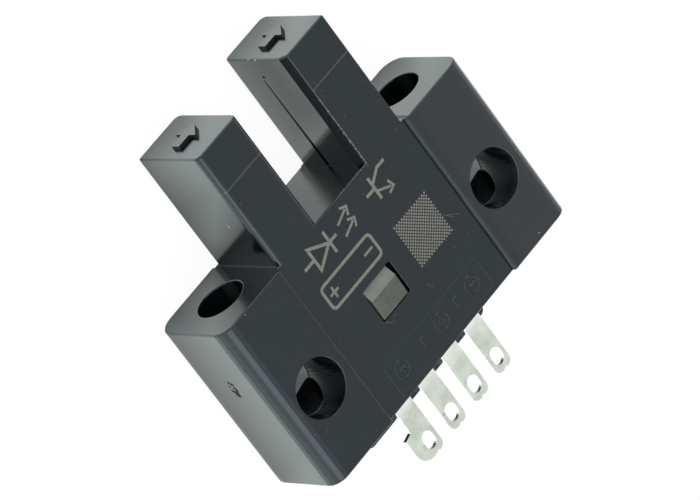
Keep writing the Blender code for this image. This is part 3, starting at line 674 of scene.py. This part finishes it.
def make_hole_rim_highlights(made):
    """A bead on the rounded edge between the crossing holes, in a light grey that paints the
    highlight it catches.
    """
    shape = bmesh.new()
    low, high = (math.radians(angle) for angle in RIM_SPAN)
    turns = [2 * math.pi * side / RIM_SIDES for side in range(RIM_SIDES)]
    for centre in HOLE_CENTRES_MM:
        rings = []
        for step in range(RIM_STEPS + 1):
            share = step / RIM_STEPS
            angle = low + (high - low) * share
            here = rim_point(centre, angle)
            along = (rim_point(centre, angle + RIM_LOOK_AHEAD) - here).normalized()
            side = along.cross(Vector((0, 1, 0))).normalized()
            other = along.cross(side)
            radius = RIM_BEAD_MM * max(RIM_END_SHARE, math.sin(math.pi * share) ** RIM_TAPER)
            places = [here + (side * math.cos(a) + other * math.sin(a)) * radius for a in turns]
            rings.append([shape.verts.new(place * MM) for place in places])
        join_rings(shape, rings)
    finish_piece("hole_rim_highlights", shape, made)


def unit(value):
    return min(1.0, max(0.0, value))


def scar_noise(along, up, scale):
    return noise.noise(Vector((along * scale[0], up * scale[1], scale[2])))


def scar_depth(along, up):
    """The torn gate's depth at a place in its recess: flush at the rim, rough along its middle."""
    reach = 1 - (along / SCAR_HALF_MM[0]) ** 2 - (up / SCAR_HALF_MM[1]) ** 2
    if reach <= 0:
        return SCAR_FLUSH_MM
    coarse = SCAR_COARSE_WEIGHT * scar_noise(along, up, SCAR_COARSE)
    fine = SCAR_FINE_WEIGHT * scar_noise(along, up, SCAR_FINE)
    torn = unit(coarse + fine + SCAR_BIAS)
    from_pit = (along - SCAR_PIT_MM[0]) ** 2 + 2 * (up - SCAR_PIT_MM[1]) ** 2
    torn = max(torn, unit(SCAR_PIT_LEVEL - from_pit / SCAR_PIT_RADIUS_MM**2))
    return SCAR_FLUSH_MM + SCAR_DEPTH_MM * min(1.0, SCAR_RIM_SLOPE * reach) * torn


def make_gate_scar(made, torn):
    """The rough place on the left flange's side where the moulding was broken from its runner."""
    shape = bmesh.new()
    side = -FLANGE_HALF_MM

    def corner(ring, turn, depth=None):
        radius = GATE_RADIUS_MM * ring / SCAR_RINGS
        angle = 2 * math.pi * turn / SCAR_TURNS
        along, up = radius * math.cos(angle), radius * math.sin(angle)
        depth = scar_depth(along, up) if depth is None else depth
        place = Vector((side + depth, GATE_PLACE_MM[0] + along, GATE_PLACE_MM[1] + up))
        return shape.verts.new(place * MM)

    turns = range(SCAR_TURNS)
    rings = [[corner(ring, turn) for turn in turns] for ring in range(1, SCAR_RINGS + 1)]
    rings.append([corner(SCAR_RINGS, turn, SCAR_ROOT_MM) for turn in turns])
    middle = corner(0, 0)
    for turn in turns:
        shape.faces.new((middle, rings[0][turn - 1], rings[0][turn]))
        for low, high in zip(rings, rings[1:]):
            shape.faces.new((low[turn - 1], high[turn - 1], high[turn], low[turn]))
    shape.faces.new(rings[-1])
    piece = finish_piece("gate_scar", shape, made)
    piece.data.materials.append(torn)
    half_torn = SCAR_DEPTH_MM / 2
    for face in piece.data.polygons:
        depth = face.center.x / MM - side
        face.material_index = int(half_torn < depth < half_torn + SCAR_ROOT_MM / 2)


def make_marks():
    laser = laser_mark("laser_mark")
    make_symbols(laser)
    make_blank_plate(laser)
    make_check_square(laser)
    make_scuffs(speckled_solid("scuff_grey", SCUFF_GREY, 0.6))
    make_moulded_signs(black_plastic("sign_black"))
    # Painted highlight: a light grey bead on the edge between the crossing holes
    make_hole_rim_highlights(speckled_solid("rim_highlight_grey", RIM_HIGHLIGHT_GREY, 0.45))
    torn = speckled_solid("scar_torn", TORN_BLACK, 0.7, ior=1.2)
    make_gate_scar(black_plastic("scar_black"), torn)


# Materials
def shaded(colour, factor):
    return tuple(c * factor for c in colour)


def laser_mark(name):
    """The grey-brown skin that a laser leaves on black plastic, in fine scanned lines."""
    made, tree = new_material(name)
    patch = tree.noise(tree.millimetres(), 5.0, 3.0, 0.6)
    lines = tree.noise(tree.millimetres((1.0, 12.0, 1.0)), 3.0, 2.0, 0.5)
    colour = tree.ramp(patch, [(0.3, LASER_DARK), (0.7, LASER_LIGHT)])
    colour = tree.mix_colour(tree.share(lines, 0.35, 0.8), colour, LASER_LINES)
    tree.surface(colour, 0.6, tree.bump(patch, 0.002))
    return made


def flat_normal(tree):
    """The true normal on flat faces that lie square to an axis, and the smooth one elsewhere."""
    geometry = tree.node("ShaderNodeNewGeometry")
    true = tree.vector("ABSOLUTE", geometry.outputs["True Normal"])
    largest = tree.component(true, "X")
    for axis in "YZ":
        largest = tree.math("MAXIMUM", largest, tree.component(true, axis))
    square = tree.math("GREATER_THAN", largest, SQUARE_LIMIT)
    return tree.mix_colour(square, geometry.outputs["Normal"], geometry.outputs["True Normal"])


def case_roughness(tree, place):
    """What the duller places add: the flanges, the right step, the slot's floor, the end marks.

    The left shoulder takes a little away, because it mirrors the post more clearly.
    """
    x, y = (tree.component(place, axis) for axis in "XY")
    across = tree.math("ABSOLUTE", x)
    flanges = tree.share(across, BODY_HALF_MM - FLANGE_BLEND_MM, BODY_HALF_MM + FLANGE_BLEND_MM)
    added = tree.ramp(flanges, [(0.0, 0.0), (1.0, 0.08)])
    at_floor = tree.band(y, *FLOOR_Y_MM)
    for share, amount in (
        (tree.band(x, *STEP_X_MM), 0.35),
        (tree.times(tree.band(x, *SLOT_X_MM), at_floor), 0.14),
        (tree.band(y, *END_MARK_Y_MM), 0.5),
        (tree.times(tree.band(x, *LEFT_SHOULDER_X_MM), at_floor), -0.06),
    ):
        added = tree.math("ADD", added, tree.times(share, amount))
    return added


def case_specks_and_painted_light(tree, place):
    """Where the case is lighter, as share and colour of each place in turn: painted highlights
    along the axis groove, the left corner and the slot's front edges, painted light on the chamfer
    and the right flange, and real light specks and chips.
    """
    x, y, z = (tree.component(place, axis) for axis in "XYZ")
    front = tree.math("GREATER_THAN", z, FRONT_MM - FRONT_SKIN_MM)
    # Painted highlight: a lighter line along the axis groove across the front
    yield tree.times(tree.band(y, *AXIS_GROOVE_HIGHLIGHT_Y_MM), front), AXIS_GROOVE_HIGHLIGHT
    # Painted light: faces turned as the right post's chamfer are painted lighter
    slant = tree.vector("DOT_PRODUCT", tree.normal(), CHAMFER_LIGHT_NORMAL)
    yield tree.ramp(slant, [(0.96, 0.0), (0.98, 1.0)]), CHAMFER_LIGHT
    # Painted light: the right flange's front is painted a little lighter
    yield tree.times(tree.band(x, *RIGHT_FLANGE_LIGHT_X_MM), front), RIGHT_FLANGE_LIGHT
    # Painted highlight: a light line where the left post's side meets the left shoulder
    yield tree.times(tree.band(x, *CORNER_HIGHLIGHT_X_MM), tree.band(y, *CORNER_HIGHLIGHT_Y_MM)), CORNER_HIGHLIGHT
    # Painted highlight, broken up by noise, along the front edges of the slot's floor and of the
    # right post's chamfer
    floor_edge = tree.times(tree.band(y, *FLOOR_Y_MM), tree.band(x, *FLOOR_EDGE_HIGHLIGHT_X_MM))
    post_edge = tree.times(tree.band(x, *POST_EDGE_X_MM), tree.band(y, *POST_EDGE_HIGHLIGHT_Y_MM))
    broken_highlight = tree.ramp(tree.noise(place, 6.0, 3.0, 0.6), [(0.48, 0.0), (0.7, 1.0)])
    edges = tree.times(tree.math("MAXIMUM", floor_edge, post_edge), front)
    yield tree.times(edges, broken_highlight), EDGE_HIGHLIGHT
    for centre, radius in LIGHT_SPECKS_MM:
        away = tree.math("DIVIDE", tree.distance(place, centre), 2 * radius)
        yield tree.ramp(away, [(0.35, 1.0), (0.5, 0.0)]), SPECK


def black_plastic(name, roughness=(0.1, 0.15), case=False):
    """Glossy black moulded plastic: a fine grain, flow clouding, hairline scratches and dust. On
    the case also light specks, painted highlights and painted light.
    """
    made, tree = new_material(name)
    place = tree.millimetres()
    cloud = tree.noise(place, 0.35, 4.0, 0.6)
    fine = tree.noise(place, 14.0, 2.0, 0.6)
    scratch = tree.noise(tree.millimetres((0.25, 6.0, 2.0)), 1.6, 2.0, 0.4)
    scratches = tree.ramp(scratch, [(0.66, 0.0), (0.70, 1.0)])
    speck = tree.node("ShaderNodeTexVoronoi", {"Vector": place, "Scale": 2.3, "Randomness": 1.0})
    dust = tree.ramp(speck.outputs["Distance"], [(0.05, 1.0), (0.08, 0.0)])
    kept = tree.ramp(tree.noise(place, 1.3, 2.0, 0.5), [(0.5, 0.0), (0.56, 1.0)])
    rough = tree.ramp(cloud, [(0.3, roughness[0]), (0.75, roughness[1])])
    tint = [(0.25, shaded(PLASTIC_BLACK, 0.85)), (0.8, shaded(PLASTIC_BLACK, 1.2))]
    dusty = tree.times(tree.times(dust, kept), 0.6)
    colour = tree.mix_colour(dusty, tree.ramp(cloud, tint), DUST)
    if case:
        rough = tree.math("ADD", rough, case_roughness(tree, place))
        for share, shade in case_specks_and_painted_light(tree, place):
            colour = tree.mix_colour(share, colour, (*shade, 1))
    height = tree.math("ADD", fine, tree.times(scratches, -0.25))
    normal = tree.bump(height, 0.0008, flat_normal(tree))
    tree.surface(colour, rough, normal, {"IOR": 1.6, "Specular Tint": PLASTIC_SPECULAR})
    return made


def terminal_wear_and_painted_shade(tree, stain):
    """A terminal's clean root, dull tip, blots about its eye, and its faces towards the case
    darker: partly dark sheared edges, partly painted shade.
    """
    height = tree.component(tree.millimetres(), "Y")
    wavy = tree.math("ADD", height, tree.times(stain, 1.6))
    along = tree.math("SUBTRACT", TERMINAL_ROOT_MM, wavy)
    clean = tree.math("DIVIDE", along, CLEAN_REACH_MM)
    yield tree.ramp(clean, [(0.0, 1.0), (0.38, 0.0)]), TERMINAL_CLEAN
    tip = tree.math("DIVIDE", along, TIP_FROM_ROOT_MM)
    yield tree.ramp(tip, [(0.86, 0.0), (0.98, 1.0)]), TERMINAL_TIP
    blot = tree.noise(tree.millimetres(), 1.7, 4.0, 0.6)
    blot = tree.ramp(blot, [(0.58, 0.0), (0.68, 0.75)])
    yield tree.times(blot, tree.band(along, EYE_FROM_ROOT_MM, 0.9)), TERMINAL_STAIN
    # Partly real sheared edges, partly painted shade: every face turned towards the case is darker
    towards_case = tree.component(tree.normal(), "Y")
    yield tree.ramp(towards_case, [(0.6, 0.0), (0.8, 1.0)]), TERMINAL_SHEARED_AND_SHADED


def plated_metal(name, base, roughness, wear_and_shade=None):
    """Tin plating: a pale satin metal with rolling lines along it and faint staining."""
    made, tree = new_material(name)
    rolled = tree.noise(tree.millimetres((7.0, 0.5, 7.0)), 1.5, 3.0, 0.6)
    stain = tree.noise(tree.millimetres(), 0.9, 3.0, 0.55)
    colour = tree.ramp(stain, [(0.3, shaded(base, 0.76)), (0.65, base)])
    # The wear a caller gives; for the terminals it holds painted shade too
    if wear_and_shade:
        for share, shade in wear_and_shade(tree, stain):
            colour = tree.mix_colour(share, colour, shade)
    rough = tree.ramp(stain, [(0.3, roughness + 0.1), (0.7, roughness)])
    tree.surface(colour, rough, tree.bump(rolled, 0.0015), {"Metallic": 1.0})
    return made


def milky_plastic(name):
    """The light pipe: clear plastic, milky inside, with a polished face. Its faces towards the post
    ends are painted lighter than the rest, as painted light and shade.
    """
    made, tree = new_material(name)
    cloud = tree.noise(tree.millimetres(), 1.1, 3.0, 0.5)
    # Painted light: faces turned towards the post ends are painted lighter
    lit_side = tree.ramp(tree.component(tree.normal(), "Y"), [(0.1, 0.0), (0.3, 1.0)])
    shaded_colour, lit_colour = (
        tree.ramp(cloud, [(0.3, dark), (0.7, light)]) for dark, light in (PIPE_LOWER_SHADED, PIPE_UPPER_LIT)
    )
    colour = tree.mix_colour(lit_side, shaded_colour, lit_colour)
    rough = tree.ramp(cloud, [(0.3, 0.16), (0.7, 0.24)])
    normal = tree.bump(tree.noise(tree.millimetres(), 5.0, 2.0), 0.002)
    tree.surface(colour, rough, normal, {"IOR": 1.58, "Transmission Weight": 0.1})
    return made


def speckled_solid(name, base, roughness, ior=1.5):
    """A plain moulded, torn or fired solid with a fine speckle."""
    made, tree = new_material(name)
    speckle = tree.noise(tree.millimetres(), 4.0, 3.0, 0.6)
    colour = tree.ramp(speckle, [(0.3, shaded(base, 0.8)), (0.7, shaded(base, 1.15))])
    tree.surface(colour, roughness, tree.bump(speckle, 0.003), {"IOR": ior})
    return made


def dress(material, *prefixes):
    """Puts a material on every CAD node whose name starts with one of the prefixes."""
    for name, node in NODES.items():
        if name.startswith(prefixes):
            node.data.materials.clear()
            node.data.materials.append(material)


def dress_nodes():
    """The leads come last, because their names start as those of the bodies they belong to."""
    dress(black_plastic("case_black", case=True), "case")
    dress(black_plastic("base_black", roughness=(0.25, 0.35)), "terminal_base")
    tin = plated_metal("terminal_tin", TERMINAL_TIN, 0.28, wear_and_shade=terminal_wear_and_painted_shade)
    dress(tin, *(f"terminal_{i}" for i in range(1, 5)))
    dress(milky_plastic("light_pipe_clear"), "indicator_light_pipe")
    for name, colour, roughness, prefixes in INSIDE_SOLIDS:
        dress(speckled_solid(name, colour, roughness), *prefixes)
    dress(plated_metal("lead_tin", LEAD_TIN, 0.35), "emitter_lead", "receiver_lead")


bpy.context.scene.view_settings.view_transform = "Standard"
make_camera()
make_world()
make_floor()
make_lamp()
dress_nodes()
make_marks()
